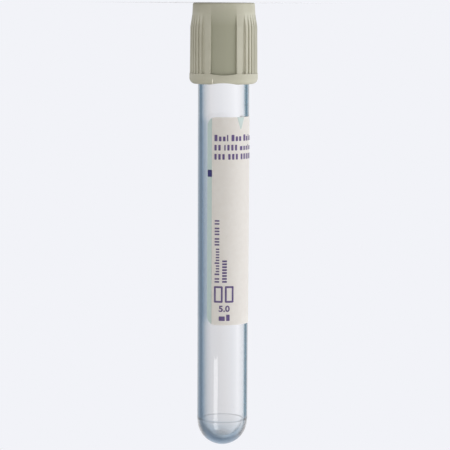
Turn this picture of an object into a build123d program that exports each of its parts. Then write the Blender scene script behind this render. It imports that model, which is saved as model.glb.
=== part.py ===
from build123d import *
import os
from math import radians, sin

# Blood collection tube with a shielded rubber stopper, stood upside down on its closure,
# because it rolls when it lies and can't stand on its round end. +Z is up, and the origin
# is on the ground, on the tube's axis. Heights are measured along the tube from the tip of
# its round end to the closure, so they run down to the ground.

# --- Driving dimensions, in millimetres and degrees ---

# Tube: one clear moulding, drafted above a straight foot, with a separately cut round end
tube_length = 100.0
foot_radius = 6.05
foot_height = 26.0
mouth_growth = 0.1
wall = 1.0
end_wall = 1.55
rim_chamfer = 0.25
parting_height = 6.3
parting_step = 0.06
parting_slope = 0.06

# Stopper: a rubber plug, a seat that rests on the tube's rim, and a neck with a well
plug_length = 10.0
plug_draft = 0.15
plug_chamfer = 0.6
plug_wall = 1.9
recess_chamfer = 0.9
septum = 4.2
seat_thickness = 3.1
seat_chamfer = 0.4
seat_ledge = 1.18
well_lip = 2.1
well_depth = 3.4
well_round = 0.8

# Shield: the moulded cap that holds the stopper and covers the tube's top
shield_length = 19.25
head_height = 6.5
head_recess = 1.8
skirt_wall = 0.85
ring_length = 2.7
ring_draft = 0.13
top_round = 0.45
opening_chamfer = 0.35
snap_height = 0.7

# Grip ribs: a group between each two of the smooth panels
panel_count = 3
rib_rise = 0.57
rib_draft = 0.1
rib_runout = 3.0
rib_round = 0.2
narrow_rib = 0.71
narrow_count = 5
narrow_pitch = 8.3
broad_rib = 1.49
broad_offset = 31.75

# Flange at the shield's foot, which dips under each smooth panel
flange_reach = 0.67
flange_height = 2.5
foot_land = 0.12
panel_dip = 0.3
foot_scallop = 0.36

# Label: a film wrapped round the tube that leaves a window along it
label_margin = 3.9
label_gap = 7.7
label_film = 0.1
label_start = -37.0
label_wrap = 177.0
label_corner = 2.2

# Additive: a dried powder cake in the round end
cake_depth = 0.8

# Clearances
plug_clearance = 0.05
seat_clearance = 0.05
skirt_clearance = 0.49
snap_clearance = 0.2
film_clearance = 0.01

# --- Sizes that follow ---

# Heights, from the tip of the round end
cap_top = tube_length + head_height
shield_foot = cap_top - shield_length
flange_top = shield_foot + flange_height
runout_top = cap_top - ring_length
foot_edge = parting_height + parting_slope
label_bottom = foot_height + label_margin
label_top = shield_foot - label_gap
seat_bottom = tube_length + seat_clearance
seat_top = seat_bottom + seat_thickness
ledge = seat_top + seat_clearance

# Radii of the tube, then of the shield round it, then of the stopper in both
end_radius = foot_radius - parting_step
inner_radius = foot_radius - wall
mouth_radius = foot_radius + mouth_growth
bore_radius = mouth_radius - wall
skirt_radius = mouth_radius + skirt_clearance
core_radius = skirt_radius + skirt_wall
ring_radius = core_radius - ring_draft
rib_crest = core_radius + rib_rise
flange_radius = core_radius + flange_reach
flange_round = flange_radius - skirt_radius - foot_land
seat_radius = skirt_radius - seat_clearance
neck_radius = seat_radius - seat_ledge
opening_radius = neck_radius + seat_clearance

# Plane across the tube at its tip: X looks to the front, Y to -X, and Z runs down the tube
upended = Plane(origin=(0, 0, cap_top), x_dir=(0, -1, 0), z_dir=(0, 0, -1))
tube_axis = Axis(upended.origin, upended.z_dir)


def section_plane(angle=0.0):
    """Half section at an angle round the tube: X is the radius and Y the height."""
    turned = Plane(upended.location * Rot(Z=angle))
    return Plane(turned.origin, x_dir=turned.x_dir, z_dir=-turned.y_dir)


def side_plane(angle):
    """Plane through the axis that looks outwards: X runs round the tube and Y along it."""
    turned = Plane(upended.location * Rot(Z=angle))
    return Plane(turned.origin, x_dir=turned.y_dir, z_dir=turned.x_dir)


def tube_outside(height):
    """Outer radius of the tube at a height above its straight foot."""
    return foot_radius + mouth_growth * (height - foot_height) / (tube_length - foot_height)


def arc_radius(half_width, height):
    """Radius of an arc of this half width and height."""
    return (half_width**2 + height**2) / (2 * height)


def round_corner(section, corner, radius):
    """Round the corner of a section that is nearest to a point."""
    fillet(section.vertices().sort_by_distance(corner)[0], radius=radius)


def bevel_corner(section, corner, length):
    """Bevel the corner of a section that is nearest to a point."""
    chamfer(section.vertices().sort_by_distance(corner)[0], length=length)


# --- Tube ---

with BuildPart() as tube:
    with BuildSketch(section_plane()) as tube_section:
        with BuildLine():
            RadiusArc((0, 0), (end_radius, end_radius), -end_radius)
            Polyline(
                (end_radius, end_radius),
                (end_radius, parting_height),
                (foot_radius, foot_edge),
                (foot_radius, foot_height),
                (mouth_radius, tube_length),
                (bore_radius, tube_length),
                (inner_radius, foot_height),
                (inner_radius, end_wall + inner_radius),
            )
            RadiusArc((inner_radius, end_wall + inner_radius), (0, end_wall), inner_radius)
            Line((0, end_wall), (0, 0))
        make_face()
        bevel_corner(tube_section, (mouth_radius, tube_length), rim_chamfer)
        bevel_corner(tube_section, (bore_radius, tube_length), rim_chamfer)
    revolve(axis=tube_axis)

# --- Label ---

with BuildPart() as label:
    low_radius = tube_outside(label_bottom) + film_clearance
    high_radius = tube_outside(label_top) + film_clearance
    with BuildSketch(section_plane(label_start)):
        with BuildLine():
            Polyline(
                (low_radius, label_bottom),
                (low_radius + label_film, label_bottom),
                (high_radius + label_film, label_top),
                (high_radius, label_top),
                close=True,
            )
        make_face()
    revolve(axis=tube_axis, revolution_arc=label_wrap)
    # Rounded corners at both ends of the film
    for angle, inward in ((label_start, 1), (label_start + label_wrap, -1)):
        with BuildSketch(side_plane(angle)):
            with Locations((0, label_bottom), (0, label_top)):
                Rectangle(2 * label_corner, 2 * label_corner)
            with Locations(
                (inward * label_corner, label_bottom + label_corner),
                (inward * label_corner, label_top - label_corner),
            ):
                Circle(label_corner, mode=Mode.SUBTRACT)
        extrude(amount=2 * mouth_radius, mode=Mode.SUBTRACT)

# --- Additive ---

with BuildPart() as additive:
    cake_radius = inner_radius - film_clearance
    cake_bottom = end_wall + film_clearance
    cake_top = cake_bottom + cake_depth
    cake_edge = (cake_radius**2 - (cake_radius - cake_depth) ** 2) ** 0.5
    with BuildSketch(section_plane()):
        with BuildLine():
            RadiusArc((0, cake_bottom), (cake_edge, cake_top), -cake_radius)
            Polyline((cake_edge, cake_top), (0, cake_top), (0, cake_bottom))
        make_face()
    revolve(axis=tube_axis)

# --- Stopper ---

with BuildPart() as stopper:
    plug_radius = bore_radius - plug_clearance
    plug_tip = plug_radius - plug_draft
    plug_bottom = seat_bottom - plug_length
    neck_top = cap_top - head_recess
    well_radius = neck_radius - well_lip
    well_bottom = neck_top - well_depth
    recess_radius = plug_radius - plug_wall
    recess_top = well_bottom - septum
    with BuildSketch(section_plane()) as stopper_section:
        with BuildLine():
            Polyline(
                (0, recess_top),
                (recess_radius, recess_top),
                (recess_radius, plug_bottom),
                (plug_tip - plug_chamfer, plug_bottom),
                (plug_tip, plug_bottom + plug_chamfer),
                (plug_radius, seat_bottom),
                (seat_radius, seat_bottom),
                (seat_radius, seat_top),
                (neck_radius, seat_top),
                (neck_radius, neck_top),
                (well_radius, neck_top),
                (well_radius, well_bottom),
                (0, well_bottom),
                close=True,
            )
        make_face()
        bevel_corner(stopper_section, (recess_radius, recess_top), recess_chamfer)
        round_corner(stopper_section, (well_radius, well_bottom), well_round)
        bevel_corner(stopper_section, (seat_radius, seat_bottom), seat_chamfer)
        bevel_corner(stopper_section, (seat_radius, seat_top), seat_chamfer)
    revolve(axis=tube_axis)

# --- Shield ---

# Ribs: bars buried in the core, whose crests run out towards the ring at the top
with BuildPart() as ribs:
    rib_foot = flange_top - flange_height / 2
    narrow_sweep = (narrow_count - 1) * narrow_pitch
    with BuildSketch(upended.offset(rib_foot)):
        for panel in range(panel_count):
            middle = (panel + 0.5) * 360 / panel_count
            with PolarLocations(
                core_radius, narrow_count, middle - narrow_sweep / 2, narrow_sweep, endpoint=True
            ):
                RectangleRounded(2 * rib_rise, narrow_rib, rib_round)
            with PolarLocations(
                core_radius, 2, middle - broad_offset, 2 * broad_offset, endpoint=True
            ):
                RectangleRounded(2 * rib_rise, broad_rib, rib_round)
    extrude(amount=runout_top - rib_foot)
    with BuildSketch(section_plane()):
        with BuildLine():
            Polyline(
                (core_radius, runout_top),
                (rib_crest - rib_draft, runout_top - rib_runout),
                (rib_crest, flange_top),
                (rib_crest + 1, flange_top),
                (rib_crest + 1, runout_top),
                close=True,
            )
        make_face()
    revolve(axis=tube_axis, mode=Mode.SUBTRACT)

with BuildPart() as shield:
    # Flange at the foot, dipped under each panel
    panel_edge = radians(180 / panel_count - broad_offset)
    panel_half_width = rib_crest * sin(panel_edge) - broad_rib / 2
    dip_radius = arc_radius(panel_half_width, panel_dip)
    with BuildSketch(section_plane()) as flange_section:
        with BuildLine():
            Polyline(
                (skirt_radius, shield_foot),
                (flange_radius, shield_foot),
                (flange_radius, flange_top),
                (skirt_radius, flange_top),
                close=True,
            )
        make_face()
        round_corner(flange_section, (flange_radius, shield_foot), flange_round)
    revolve(axis=tube_axis)
    for panel in range(panel_count):
        with BuildSketch(side_plane(panel * 360 / panel_count)):
            with Locations((0, flange_top - panel_dip + dip_radius)):
                Circle(dip_radius)
        extrude(amount=2 * flange_radius, mode=Mode.SUBTRACT)

    # Ribs, and the core that carries them
    add(ribs)
    with BuildSketch(section_plane()) as core_section:
        with BuildLine():
            Polyline(
                (skirt_radius, shield_foot),
                (core_radius, shield_foot + flange_round),
                (core_radius, cap_top - ring_length),
                (ring_radius, cap_top),
                (opening_radius + opening_chamfer, cap_top),
                (opening_radius, cap_top - opening_chamfer),
                (opening_radius, ledge),
                (skirt_radius, ledge),
                close=True,
            )
        make_face()
        round_corner(core_section, (ring_radius, cap_top), top_round)
    revolve(axis=tube_axis)

    # Snap bead that holds the stopper's seat up against the ledge
    with BuildSketch(section_plane()):
        with BuildLine():
            Polyline(
                (skirt_radius, tube_length),
                (mouth_radius + snap_clearance, tube_length),
                (skirt_radius, tube_length - snap_height),
                close=True,
            )
        make_face()
    revolve(axis=tube_axis)

    # Scallops in the foot under the panels
    scallop_radius = arc_radius(panel_half_width, foot_scallop)
    for panel in range(panel_count):
        with BuildSketch(side_plane(panel * 360 / panel_count)):
            with Locations((0, shield_foot + foot_scallop - scallop_radius)):
                Circle(scallop_radius)
        extrude(amount=2 * flange_radius, mode=Mode.SUBTRACT)

# --- Files ---

tube.part.label = "tube"
label.part.label = "label"
additive.part.label = "additive"
stopper.part.label = "stopper"
shield.part.label = "shield"
os.makedirs("parts", exist_ok=True)
for piece in (tube, label, additive, stopper, shield):
    export_step(piece.part, f"parts/{piece.part.label}.step")
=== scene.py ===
from math import ceil, cos, pi, radians, sin

import bpy
from mathutils import Matrix, Vector


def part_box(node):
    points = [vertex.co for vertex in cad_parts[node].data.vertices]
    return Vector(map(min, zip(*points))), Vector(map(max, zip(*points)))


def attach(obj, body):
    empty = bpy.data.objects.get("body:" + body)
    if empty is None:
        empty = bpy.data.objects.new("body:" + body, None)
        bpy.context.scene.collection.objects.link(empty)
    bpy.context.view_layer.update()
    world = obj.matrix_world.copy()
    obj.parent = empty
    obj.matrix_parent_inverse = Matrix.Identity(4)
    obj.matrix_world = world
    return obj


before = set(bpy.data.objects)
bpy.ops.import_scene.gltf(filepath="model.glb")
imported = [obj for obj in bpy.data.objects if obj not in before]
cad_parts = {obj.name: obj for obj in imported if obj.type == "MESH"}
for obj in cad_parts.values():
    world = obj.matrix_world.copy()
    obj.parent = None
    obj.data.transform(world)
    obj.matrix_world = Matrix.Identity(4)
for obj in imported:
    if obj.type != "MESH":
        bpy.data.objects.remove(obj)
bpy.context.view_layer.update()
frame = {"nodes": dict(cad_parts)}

nodes = frame["nodes"]
bpy.ops.object.select_all(action="DESELECT")


# The tube: one injection-moulded piece of clear polyester. Its round end is cut in a separate
# part of the mould, which leaves a fine ring. The dark of the room at the wall's edges is painted
# into its colour as shade: blue-grey lines there and nearly nothing between them.

class Term:
    """A socket in a sum. Each sign adds the Math node that it means."""

    def __init__(self, nodes, socket):
        self.nodes, self.socket = nodes, socket

    def math(self, operation, *others):
        """A Math node that takes this socket first and then the others."""
        sockets = dict(enumerate((self, *others)))
        return self.nodes.add("ShaderNodeMath", {"operation": operation}, sockets)["Value"]

    def __add__(self, other):
        return self.math("ADD", other)

    def __sub__(self, other):
        return self.math("SUBTRACT", other)

    def __rsub__(self, other):
        return self * -1 + other

    def __mul__(self, other):
        return self.math("MULTIPLY", other)

    def __gt__(self, other):
        return self.math("GREATER_THAN", other)

    def __lt__(self, other):
        return self.math("LESS_THAN", other)

    __radd__, __rmul__ = __add__, __mul__


class Nodes:
    """The nodes of one tree, which ends at its own output."""

    def __init__(self, owner, output):
        owner.use_nodes = True
        self.tree = owner.node_tree
        self.tree.nodes.clear()
        self.output = self.tree.nodes.new(output)

    def add(self, kind, settings, sockets):
        """A node with its settings made first, then its sockets set or linked. Gives its outputs."""
        made = self.tree.nodes.new(kind)
        for name, value in settings.items():
            if name == "stops":
                stops = made.color_ramp.elements
                while len(stops) < len(value):
                    stops.new(1)
                for stop, (at, colour) in zip(stops, value):
                    stop.position, stop.color = at, colour
            else:
                setattr(made, name, value)
        for name, value in sockets.items():
            entry = name if isinstance(name, int) else next(
                i for i, s in enumerate(made.inputs) if s.enabled and s.name == name
            )
            if isinstance(value, Term):
                self.tree.links.new(value.socket, made.inputs[entry])
            else:
                made.inputs[entry].default_value = value
        return {s.name: Term(self, s) for s in made.outputs if s.enabled}

    def parts(self, vector):
        """A vector's X, Y and Z."""
        split = self.add("ShaderNodeSeparateXYZ", {}, {"Vector": vector})
        return split["X"], split["Y"], split["Z"]

    def length(self, x, y, z=0.0):
        """How long the vector with these parts is."""
        whole = self.add("ShaderNodeCombineXYZ", {}, {"X": x, "Y": y, "Z": z})["Vector"]
        return self.add("ShaderNodeVectorMath", {"operation": "LENGTH"}, {0: whole})["Value"]

    def fade(self, value, start, end, low=0.0, high=1.0, soft=False):
        """A number that goes from low to high while the value goes from start to end."""
        way = {"interpolation_type": "SMOOTHSTEP" if soft else "LINEAR"}
        sockets = {"Value": value, "From Min": start, "From Max": end, "To Min": low, "To Max": high}
        return self.add("ShaderNodeMapRange", way, sockets)["Result"]

    def ramp(self, factor, *stops):
        return self.add("ShaderNodeValToRGB", {"stops": stops}, {"Fac": factor})["Color"]

    def blend(self, share, under, over, way="MIX"):
        """One colour with this share of another laid over it."""
        settings = {"data_type": "RGBA", "blend_type": way}
        return self.add("ShaderNodeMix", settings, {"Factor": share, "A": under, "B": over})["Result"]

    def shows(self, shader):
        self.tree.links.new(shader.socket, self.output.inputs["Surface"])


class Finish(Nodes):
    """A material, begun with its Principled shader and that shader's constants."""

    def __init__(self, name, **constants):
        self.material = bpy.data.materials.new(name)
        super().__init__(self.material, "ShaderNodeOutputMaterial")
        settled = {key.replace("_", " "): value for key, value in constants.items()}
        self.surface = self.add("ShaderNodeBsdfPrincipled", {}, settled)["BSDF"]
        self.shows(self.surface)
        self.place = self.add("ShaderNodeTexCoord", {}, {})["Object"]

    def feed(self, **links):
        """Links what varies over the surface to the Principled shader."""
        for name, value in links.items():
            entry = self.surface.socket.node.inputs[name.replace("_", " ")]
            self.tree.links.new(value.socket, entry)

    def noise(self, scale, detail=2.0):
        sockets = {"Vector": self.place, "Scale": scale, "Detail": detail}
        return self.add("ShaderNodeTexNoise", {}, sockets)["Fac"]

    def bump(self, height, strength, distance):
        sockets = {"Strength": strength, "Distance": distance, "Height": height}
        return self.add("ShaderNodeBump", {}, sockets)["Normal"]


def tone(red, green, blue):
    """A colour as it shows on a screen, from 0 to 255, in the linear numbers that a shader takes."""
    return tuple(
        (c / 255 / 12.92 if c <= 10.31475 else ((c / 255 + 0.055) / 1.055) ** 2.4)
        for c in (red, green, blue)
    ) + (1,)


def crossing(*shares):
    """The base colour with which one crossing of the surface lets these shares of light through."""
    return tuple(share ** 2 for share in shares) + (1,)


mm = 0.001
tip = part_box("tube")[1][2]
dome_centre = tip - 5.99 * mm
parting = tip - 6.3 * mm
outer_from = 5.6 * mm
label_foot, label_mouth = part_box("label")[0][2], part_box("label")[1][2]
label_middle, label_half = (label_foot + label_mouth) / 2, (label_mouth - label_foot) / 2

clear = Finish("clear_polyester", Transmission_Weight=1.0, IOR=1.575, Roughness=0.02)
x, y, z = clear.parts(clear.place)
outside = clear.length(x, y, (z - dome_centre).math("MAXIMUM", 0.0)) > outer_from

# The painted shade grows the further the surface turns away. It is painted broader on the +X side
# towards the dome, and on the other side by the mouth.
slant = clear.add("ShaderNodeLayerWeight", {}, {"Blend": 0.5})["Facing"]
shade_towards_dome = (z + 11.2 * mm) * 0.71
broad_shade_side = clear.fade(x, -4 * mm, 4 * mm, -0.1, 1.0)
shade_by_mouth = clear.fade(z, 24 * mm, 32 * mm, 0.055, 0.0)
shade_depth = (slant + shade_towards_dome * broad_shade_side + shade_by_mouth * (1 - broad_shade_side)) * outside
# Painted shade: the edge colours, broad bands for one side and narrow ones for the other.
broad_painted_shade = clear.ramp(
    shade_depth,
    (0.16, crossing(1.00, 1.00, 1.00)),
    (0.27, crossing(0.86, 0.88, 0.90)),
    (0.35, crossing(0.69, 0.74, 0.78)),
    (0.44, crossing(0.48, 0.58, 0.67)),
    (0.50, crossing(0.19, 0.34, 0.45)),
    (0.58, crossing(0.08, 0.22, 0.33)),
    (0.65, crossing(0.25, 0.40, 0.52)),
    (0.74, crossing(0.62, 0.72, 0.79)),
    (1.00, crossing(0.90, 0.94, 0.96)),
)
narrow_painted_shade = clear.ramp(
    shade_depth,
    (0.20, crossing(1.00, 1.00, 1.00)),
    (0.27, crossing(0.96, 0.96, 0.96)),
    (0.39, crossing(0.88, 0.90, 0.91)),
    (0.45, crossing(0.70, 0.76, 0.80)),
    (0.50, crossing(0.32, 0.44, 0.50)),
    (0.57, crossing(0.05, 0.16, 0.23)),
    (0.65, crossing(0.06, 0.18, 0.26)),
    (0.76, crossing(0.30, 0.42, 0.50)),
    (1.00, crossing(0.80, 0.86, 0.90)),
)
# Painted shade: the +X side takes the broad bands, the other side the narrow ones.
edge = clear.blend(x > 0.0, narrow_painted_shade, broad_painted_shade)
# Painted shade: a further darkening near the +X edge, between 20 and 50 mm up.
outer_painted_shade = clear.fade(z, 20 * mm, 50 * mm) * clear.fade(x, 4.5 * mm, 5.5 * mm)
edge = clear.blend(outer_painted_shade * 0.3, edge, crossing(0.60, 0.71, 0.79))

# The dome's painted shade is paler than the sides', with a painted blue band round its tip and a
# see-through rim.
in_dome = clear.fade(z, tip - 7.5 * mm, tip - 2.5 * mm, 0.0, 0.6)
edge = clear.blend(in_dome, edge, crossing(0.92, 0.95, 0.97))
at_tip = clear.fade(z, tip - 4.5 * mm, tip - 1.9 * mm, soft=True)
curling_away = clear.fade(slant, 0.27, 0.42, soft=True)
edge = clear.blend(at_tip * curling_away * outside, edge, crossing(0.38, 0.50, 0.62))
from_flank = (z - (tip - 4.3 * mm)).math("ABSOLUTE")
flank = clear.fade(from_flank, 1.4 * mm, 2.6 * mm, 1.0, 0.0, soft=True)
grazing = clear.fade(slant, 0.45, 0.75, soft=True)

# Painted shade: the clear wall beside the label is darkened near its +X edge.
from_label = (z - (label_middle + 0.025 * mm)).math("ABSOLUTE")
shade_ends = label_half - 2.025 * mm
beside_label = clear.fade(from_label, shade_ends, shade_ends + 2.7 * mm, 1.0, 0.0, soft=True)
shade = beside_label * (x > 3.4 * mm) * (shade_depth > 0.12) * (shade_depth < 0.5)
edge = clear.blend(shade, edge, crossing(0.83, 0.88, 0.92), "MULTIPLY")

# The parting ring is real and bumped, but its darker line is painted shade.
from_parting = (z - parting).math("ABSOLUTE")
ring = clear.fade(from_parting, 0.05 * mm, 0.22 * mm, 1.0, 0.0, soft=True) * outside
clear.feed(
    Base_Color=clear.blend(ring * 0.35, edge, crossing(0.30, 0.33, 0.36)),
    Normal=clear.bump(ring, 0.35, 0.1 * mm),
    Alpha=flank * grazing * -0.5 + 1.0,
)
nodes["tube"].data.materials[0] = clear.material


# The additive: a thin cake of salts, put into the round end as powder and dried there. It is
# powdery, off-white and uneven, and thins out from the middle.

cake = Finish("dried_salts", Roughness=0.9)
x, y, z = cake.parts(cake.place)
thins = cake.fade(cake.length(x, y), 0.6 * mm, 2.8 * mm, 0.34, 0.03, soft=True)
grains = cake.noise(900.0, 5.0)
cake.feed(
    Base_Color=cake.ramp(grains, (0.35, tone(232, 214, 196)), (0.6, tone(246, 240, 234))),
    Alpha=thins * cake.fade(grains, 0.3, 0.7, 0.5, 1.0),
    Normal=cake.bump(cake.noise(2500.0, 4.0), 0.6, 0.2 * mm),
)
nodes["additive"].data.materials[0] = cake.material


# The label: a printed film with rounded corners, wrapped round the tube and open down one side.
# It follows the tube's draft. Its gummed inner face lets more light through than its front.

skin = [(v.co.z, Vector((v.co.x, v.co.y)).length) for v in nodes["label"].data.vertices]
foot_skin = max(r for height, r in skin if height < label_middle)
mouth_skin = max(r for height, r in skin if height > label_middle)
flare = (mouth_skin - foot_skin) / (label_mouth - label_foot)
half_film = 0.05 * mm

film = Finish("label_film", Roughness=0.55, Specular_IOR_Level=0.35)
x, y, z = film.parts(film.place)
gummed = film.length(x, y) - z * flare < foot_skin - label_foot * flare - half_film
fibres = film.noise(900.0, 3.0)
film.feed(Base_Color=film.ramp(fibres, (0.3, tone(241, 234, 224)), (0.7, tone(246, 240, 231))))
through = film.add("ShaderNodeBsdfTranslucent", {}, {"Color": tone(240, 240, 238)})["BSDF"]
layers = {0: gummed * 0.45 + 0.4, 1: film.surface, 2: through}
film.shows(film.add("ShaderNodeMixShader", {}, layers)["Shader"])
nodes["label"].data.materials[0] = film.material


# The edge band: green ink down the label's open edge, rounded with the film's corners.
# All ink is laid out flat in millimetres, made a few hundredths thick and wrapped with the film.

def panel(across, down, corner=0.0, steps=4):
    """A flat field of ink in millimetres, across from the front line and down from the closure."""
    (x0, x1), (z0, z1) = across, down
    bpy.ops.mesh.primitive_plane_add(
        size=1, location=(-(x0 + x1) / 2 * mm, 0, (z0 + z1) / 2 * mm), rotation=(pi / 2, 0, 0)
    )
    field = bpy.context.object
    field.scale = ((x1 - x0) * mm, (z1 - z0) * mm, 1)
    bpy.ops.object.transform_apply()
    if corner:
        bpy.ops.object.mode_set(mode="EDIT")
        bpy.ops.mesh.select_all(action="SELECT")
        bpy.ops.mesh.bevel(offset=corner * mm, segments=steps, affect="VERTICES")
        bpy.ops.object.mode_set(mode="OBJECT")
    return field


def wrapped(name, fields, colour):
    """Joins flat fields, slices them so that they can follow the tube, and bends them round it."""
    for field in fields:
        field.select_set(True)
    bpy.context.view_layer.objects.active = fields[0]
    bpy.ops.object.join()
    piece = bpy.context.object
    piece.name = piece.data.name = name
    wide = [v.co.x for v in piece.data.vertices]
    cut, thick = 0.5 * mm, 0.05 * mm
    bpy.ops.object.mode_set(mode="EDIT")
    for k in range(ceil(min(wide) / cut), ceil(max(wide) / cut)):
        bpy.ops.mesh.select_all(action="SELECT")
        bpy.ops.mesh.bisect(plane_co=(k * cut, 0, 0), plane_no=(1, 0, 0))
    bpy.ops.object.mode_set(mode="OBJECT")
    solid = piece.modifiers.new("film", "SOLIDIFY")
    solid.thickness, solid.offset = thick, 0
    bpy.ops.object.modifier_apply(modifier=solid.name)
    bent = piece.modifiers.new("wrap", "SIMPLE_DEFORM")
    bent.deform_method, bent.deform_axis = "BEND", "Z"
    bent.angle = (max(wide) - min(wide)) / foot_skin
    bpy.ops.object.modifier_apply(modifier=bent.name)
    for v in piece.data.vertices:
        taper = (v.co.z - label_foot) * flare
        v.co.y -= foot_skin
        spoke = Vector((v.co.x, v.co.y))
        spoke *= 1 + taper / spoke.length
        v.co.x, v.co.y = spoke
    bpy.ops.object.mode_set(mode="EDIT")
    bpy.ops.mesh.select_all(action="SELECT")
    bpy.ops.mesh.normals_make_consistent(inside=False)
    bpy.ops.object.mode_set(mode="OBJECT")
    bpy.ops.object.shade_smooth_by_angle(angle=radians(30))
    piece.data.materials.clear()
    piece.data.materials.append(colour.material)
    piece.select_set(False)
    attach(piece, "tube")


def ink(name, thin, full):
    """A printing ink, a little thinner in some places than in others."""
    made = Finish(name, Roughness=0.5, Specular_IOR_Level=0.35)
    made.feed(Base_Color=made.ramp(made.noise(1400.0, 4.0), (0.3, full), (0.7, thin)))
    return made


open_edge = radians(-37) * foot_skin / mm
band_width, film_corner = 1.22, 2.2
band = panel((open_edge, open_edge + 9), (label_foot / mm, label_mouth / mm), film_corner, 12)
inner_side = (-(open_edge + band_width) * mm, 0, 0)
bpy.ops.object.mode_set(mode="EDIT")
bpy.ops.mesh.select_all(action="SELECT")
bpy.ops.mesh.bisect(plane_co=inner_side, plane_no=(1, 0, 0), clear_inner=True)
bpy.ops.object.mode_set(mode="OBJECT")
wrapped("edge_band", [band], ink("green_ink", tone(180, 194, 188), tone(172, 188, 183)))


# The fill mark: a small navy bar that shows how high the drawn blood should stand. It is printed
# over the edge band, so its ink stands a hair proud of it.

mark_across, mark_down = (open_edge + 0.12, open_edge + 1.26), (39.45, 41.12)
mark = panel(mark_across, mark_down, 0.12)
for v in mark.data.vertices:
    v.co.y = -0.012 * mm
wrapped("fill_mark", [mark], ink("navy_ink", tone(48, 46, 104), tone(38, 36, 88)))


# The corner wedge: a triangle of pale teal ink that hangs from the label's end by the closure.
# Its far edge is drawn in to a narrow point.

wedge_end, wedge_point = 29.8, -4.54 * mm
wedge = panel((3.45, 5.65), (label_foot / mm + 0.05, wedge_end))
for v in wedge.data.vertices:
    if v.co.z > (label_foot + wedge_end * mm) / 2:
        v.co.x = wedge_point + 0.1 * (v.co.x - wedge_point)
wrapped("corner_wedge", [wedge], ink("teal_ink", tone(182, 192, 187), tone(174, 187, 181)))


# The printed lines: violet ink on the film. Plain bars stand where words and the unit would be,
# and two plain outlines where symbols would be. The tube's capacity is the only figure.

def outline(across, down, corner, stroke):
    """A plain outline: a field of ink whose middle is inset and taken out."""
    field = panel(across, down, corner)
    bpy.ops.object.mode_set(mode="EDIT")
    bpy.ops.mesh.select_all(action="SELECT")
    bpy.ops.mesh.inset(thickness=stroke * mm)
    bpy.ops.mesh.delete(type="FACE")
    bpy.ops.object.mode_set(mode="OBJECT")
    return field


def words(start, low, tall, gap, *blocks):
    """Bars in place of letters, as (width, share of the height). A lone number is a space."""
    across = start
    for block in blocks:
        if isinstance(block, tuple):
            width, share = block
            yield (across, across + width), (low - tall * share, low)
            across += width + gap
        else:
            across += block


full, part = 1.0, 0.74
wide, round_one, narrow, slim = (0.72, full), (0.6, part), (0.3, full), (0.54, full)
low_wide, low_slim, low_thin = (0.74, part), (0.54, part), (0.26, full)
space = 0.45
first_line = (
    wide, round_one, round_one, narrow, space, wide, round_one, round_one, space,
    wide, round_one, narrow, round_one, round_one, round_one,
)
second_line = (
    slim, slim, space, narrow, slim, slim, slim, space,
    low_wide, low_slim, low_slim, low_thin, low_slim, low_slim,
)
third_line = (slim, slim, slim, space, slim, slim, slim, space) + (slim,) * 6
lines_start = -2.13
fields = []
for low, tall, gap, blocks in (
    (32.62, 1.5, 0.36, first_line),
    (34.82, 1.34, 0.42, second_line),
    (36.98, 1.34, 0.42, third_line),
):
    fields += [panel(*place, 0.1) for place in words(lines_start, low, tall, gap, *blocks)]

# Two columns of smaller bars are turned to run along the tube.
small, fine, finer = (0.42, full), (0.36, full), (0.32, part)
space = 0.4
first_column = (
    fine, fine, space, fine, finer, finer, finer, fine, finer, finer, finer, finer, finer, space,
    fine, fine, fine, space, fine, fine, fine, space, fine, fine,
)
second_column = (small,) * 8
columns_start = -66.33
for base, tall, gap, blocks in (
    (-0.86, 1.14, 0.34, first_column),
    (0.97, 1.12, 0.28, second_column),
):
    for along, across in words(columns_start, base, tall, gap, *blocks):
        fields.append(panel(across, (-along[1], -along[0]), 0.08))

symbol_down, symbol_corner, stroke = (67.2, 71.15), 0.2, 0.42
unit_low, unit_corner = 75.53, 0.12
fields += [
    outline((-2.12, -0.01), symbol_down, symbol_corner, stroke),
    outline((0.54, 2.66), symbol_down, symbol_corner, stroke),
    panel((-0.93, 0.5), (74.45, unit_low), unit_corner),
    panel((0.86, 1.7), (74.05, unit_low), unit_corner),
]
bpy.ops.object.select_all(action="DESELECT")
bpy.ops.object.text_add()
figure = bpy.context.object
figure.data.body = "5.0"
figure.data.offset = 0.025
bpy.ops.object.convert(target="MESH")
figure_left, figure_width = 0.94, 2.65
figure_base, figure_height = 73.36, 1.5
spread = [v.co.x for v in figure.data.vertices]
rise = [v.co.y for v in figure.data.vertices]
for v in figure.data.vertices:
    right = (v.co.x - min(spread)) / (max(spread) - min(spread))
    up = (v.co.y - min(rise)) / (max(rise) - min(rise))
    v.co = ((figure_left - figure_width * right) * mm, 0, (figure_base - figure_height * up) * mm)
fields.append(figure)
wrapped("printed_lines", fields, ink("violet_ink", tone(98, 84, 122), tone(80, 64, 108)))


# The stopper: a plug moulded from grey rubber, which seals the tube and sits in the shield.
# It is matt, with a fine grain that scatters light.

rubber = Finish("grey_rubber", Roughness=0.75, Specular_IOR_Level=0.4)
speck = rubber.noise(1500.0, 5.0)
rubber.feed(
    Base_Color=rubber.ramp(speck, (0.35, tone(150, 148, 143)), (0.65, tone(163, 161, 156))),
    Normal=rubber.bump(speck, 0.25, 0.1 * mm),
)
nodes["stopper"].data.materials[0] = rubber.material


# The shield: a hard olive-grey cap of moulded plastic that holds the stopper, ribbed for grip.
# Its skin is satin; painted shade darkens its three panels, and painted light makes its grooves and
# the ribs' feet paler.

crest_from, crest_full = 7.55 * mm, 7.9 * mm
ribs_end = 17.4 * mm
panel_half, ribs_edge, grooves_edge = radians(23.5), radians(33), radians(40.5)

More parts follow.
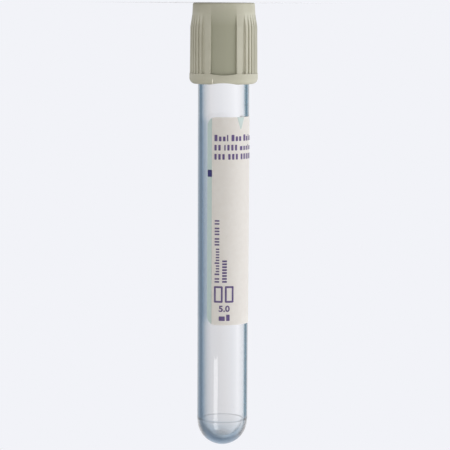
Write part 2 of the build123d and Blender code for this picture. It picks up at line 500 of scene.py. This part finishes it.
shell = Finish("olive_grey_plastic", Roughness=0.5, Specular_IOR_Level=0.45)
x, y, z = shell.parts(shell.place)
crest = shell.fade(shell.length(x, y), crest_from, crest_full)
panels_begun = shell.fade(z, 0.0, 5.5 * mm)
ribs_begun = shell.fade(z, 2 * mm, 6.5 * mm)
from_panel = (x * -1).math("ARCTAN2", y * -1).math("PINGPONG", pi / 3)
sunk = (z < ribs_end) * (1 - crest)
# Painted shade: the sunk panels are darkened.
painted_panel_shade = panels_begun * sunk * (from_panel < panel_half) * 0.95
# Painted light: the grooves and the ribs' feet are lightened.
painted_groove_light = ribs_begun * sunk * ((from_panel > ribs_edge) * 0.1 + (from_panel > grooves_edge) * 0.75)
skin_tone = shell.ramp(shell.noise(160.0), (0.3, tone(170, 167, 148)), (0.7, tone(177, 174, 156)))
panel_shaded_skin = shell.blend(painted_panel_shade, skin_tone, tone(146, 145, 124))
shell.feed(
    Base_Color=shell.blend(painted_groove_light, panel_shaded_skin, tone(218, 216, 200)),
    Normal=shell.bump(shell.noise(3000.0, 3.0), 0.2, 0.05 * mm),
)
nodes["shield"].data.materials[0] = shell.material


# The glint: a short, pale, upright mark on the shield's flange, a painted highlight. It stands a
# few hundredths of a millimetre proud and swells towards one end.

flange_skin = (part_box("shield")[1][0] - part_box("shield")[0][0]) / 2
glint_turn, glint_height = radians(-18.8), 18.35 * mm
slender, flat, tall = 0.22, 0.16, 1.35
bpy.ops.mesh.primitive_uv_sphere_add(segments=16, ring_count=10, radius=0.5 * mm)
glint_mark = bpy.context.object
glint_mark.name = glint_mark.data.name = "painted_glint"
for v in glint_mark.data.vertices:
    swell = 1.6 if v.co.z > 0.3 * mm else 1.0
    across, along = v.co.x * slender * swell, v.co.z * tall
    out = flange_skin - 0.05 * mm - v.co.y * flat
    v.co = (
        -sin(glint_turn) * out + cos(glint_turn) * across,
        -cos(glint_turn) * out - sin(glint_turn) * across,
        glint_height + along,
    )
bpy.ops.object.mode_set(mode="EDIT")
bpy.ops.mesh.select_all(action="SELECT")
bpy.ops.mesh.normals_make_consistent(inside=False)
bpy.ops.object.mode_set(mode="OBJECT")
bpy.ops.object.shade_smooth()
glint_mark.select_set(False)
# The mark's pale colour is a painted highlight.
glint_finish = Finish("painted_glint_plastic", Roughness=0.6)
glint_grain = glint_finish.noise(2500.0)
glint_finish.feed(Base_Color=glint_finish.ramp(glint_grain, (0.3, tone(214, 208, 190)), (0.7, tone(232, 227, 212))))
glint_mark.data.materials.append(glint_finish.material)
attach(glint_mark, "closure")


# The room: a pale floor that takes the object's shadow and runs out into a pale backdrop. Seen
# through the tube, the backdrop has a darker corner and a darker ceiling.

pale = tone(242, 243, 248)
bpy.ops.mesh.primitive_circle_add(vertices=96, radius=3.0, fill_type="NGON")
floor = bpy.context.object
floor.name = "floor"
ground = Finish("pale_floor", Base_Color=pale, Roughness=0.9, Specular_IOR_Level=0.1)
x, y, z = ground.parts(ground.place)
far = ground.fade(ground.length(x, y), 12 * mm, 40 * mm, soft=True)
glow = ground.add("ShaderNodeEmission", {}, {"Color": pale, "Strength": 1.0})["Emission"]
ground.shows(ground.add("ShaderNodeMixShader", {}, {0: far, 1: ground.surface, 2: glow})["Shader"])
floor.data.materials.append(ground.material)


def bearing(azimuth, elevation):
    """The way from the object to a place at azimuth from the front, towards -X, and elevation."""
    a, e = radians(azimuth), radians(elevation)
    return Vector((-sin(a) * cos(e), -cos(a) * cos(e), sin(e)))


def grey(share):
    return (share, share, share, 1)


world = bpy.data.worlds.new("studio")
bpy.context.scene.world = world
room = Nodes(world, "ShaderNodeOutputWorld")
path = room.add("ShaderNodeLightPath", {}, {})
way = room.add("ShaderNodeTexCoord", {}, {})["Generated"]
across, _, up = room.parts(way)
to_corner = {0: way, 1: bearing(215, 30)}
towards = room.add("ShaderNodeVectorMath", {"operation": "DOT_PRODUCT"}, to_corner)["Value"]
corner = room.ramp(
    towards,
    (0.68, grey(1.0)),
    (0.74, grey(0.84)),
    (0.785, (0.74, 0.73, 0.72, 1)),
    (0.83, grey(0.66)),
    (0.88, (0.56, 0.58, 0.60, 1)),
    (0.93, (0.42, 0.48, 0.53, 1)),
)
ceiling = room.ramp(up, (0.45, grey(1.0)), (0.75, (0.42, 0.52, 0.60, 1)))
dimmed = room.blend(1.0, corner, ceiling, "MULTIPLY")
backdrop = room.blend(path["Is Transmission Ray"], pale, dimmed, "MULTIPLY")
seen = room.add("ShaderNodeBackground", {}, {"Color": backdrop})["Background"]

# The light that falls on the object is brighter from the -X side, and what it mirrors more even.
side = across * -0.5 + 0.5
falling = room.ramp(
    side,
    (0.0, (0.31, 0.31, 0.305, 1)),
    (0.45, (0.52, 0.505, 0.485, 1)),
    (1.0, (1, 0.98, 0.96, 1)),
)
mirrored = room.ramp(
    side,
    (0.0, (0.75, 0.76, 0.78, 1)),
    (0.45, (0.6, 0.6, 0.61, 1)),
    (1.0, grey(1.0)),
)
matt = room.add("ShaderNodeBackground", {}, {"Color": falling, "Strength": 1.08})["Background"]
glossy = room.add("ShaderNodeBackground", {}, {"Color": mirrored, "Strength": 1.0})["Background"]
lit = room.add("ShaderNodeMixShader", {}, {0: path["Is Glossy Ray"], 1: matt, 2: glossy})["Shader"]
shown = path["Is Camera Ray"].math("MAXIMUM", path["Is Transmission Ray"])
room.shows(room.add("ShaderNodeMixShader", {}, {0: shown, 1: lit, 2: seen})["Shader"])


# The lamps: a large cool one and a large weak warm one at either side, which light the object
# and aren't mirrored in it, and a softbox that is mirrored as the streak down the tube.

def lamp(name, azimuth, elevation, distance, size, strength, colour, in_gloss):
    """A soft lamp that faces the middle of the object."""
    light = bpy.data.lights.new(name, "AREA")
    light.shape, light.size, light.size_y = "RECTANGLE", size[0], size[1]
    light.energy, light.color = strength * pi * size[0] * size[1], colour
    holder = bpy.data.objects.new(name, light)
    bpy.context.scene.collection.objects.link(holder)
    middle = Vector((0, 0, 50 * mm))
    holder.location = middle + distance * bearing(azimuth, elevation)
    holder.rotation_mode = "QUATERNION"
    holder.rotation_quaternion = (middle - holder.location).to_track_quat("-Z", "Y")
    holder.visible_glossy, holder.visible_transmission = in_gloss, False


lamp(
    "key", azimuth=84, elevation=22, distance=0.9, size=(0.8, 0.8),
    strength=3.4, colour=(0.88, 0.92, 1.0), in_gloss=False,
)
lamp(
    "fill", azimuth=-80, elevation=25, distance=0.9, size=(0.9, 0.9),
    strength=0.25, colour=(1.0, 0.97, 0.92), in_gloss=False,
)
lamp(
    "softbox", azimuth=-30.6, elevation=25.4, distance=1.0, size=(0.34, 0.5),
    strength=3.4, colour=(1.0, 1.0, 1.0), in_gloss=True,
)


# The camera: a long lens just above the floor. It is turned upside down, because the object
# stands on its closure and is shown with the closure at the top.

camera = bpy.data.objects.new("camera", bpy.data.cameras.new("camera"))
bpy.context.scene.collection.objects.link(camera)
bpy.context.scene.camera = camera
camera.data.lens, camera.data.sensor_width = 167.28, 36
camera.data.clip_start, camera.data.clip_end = 0.01, 20
stand, aim = Vector((0, -0.5, 0.002)), Vector((-0.000485, 0, 0.05315))
half_turn = radians(180 + 0.248)
turned = Matrix.Rotation(half_turn, 3, "Z").to_quaternion()
camera.rotation_mode = "QUATERNION"
camera.location = stand
camera.rotation_quaternion = (aim - stand).to_track_quat("-Z", "Y") @ turned

bpy.context.scene.view_settings.view_transform = "Standard"
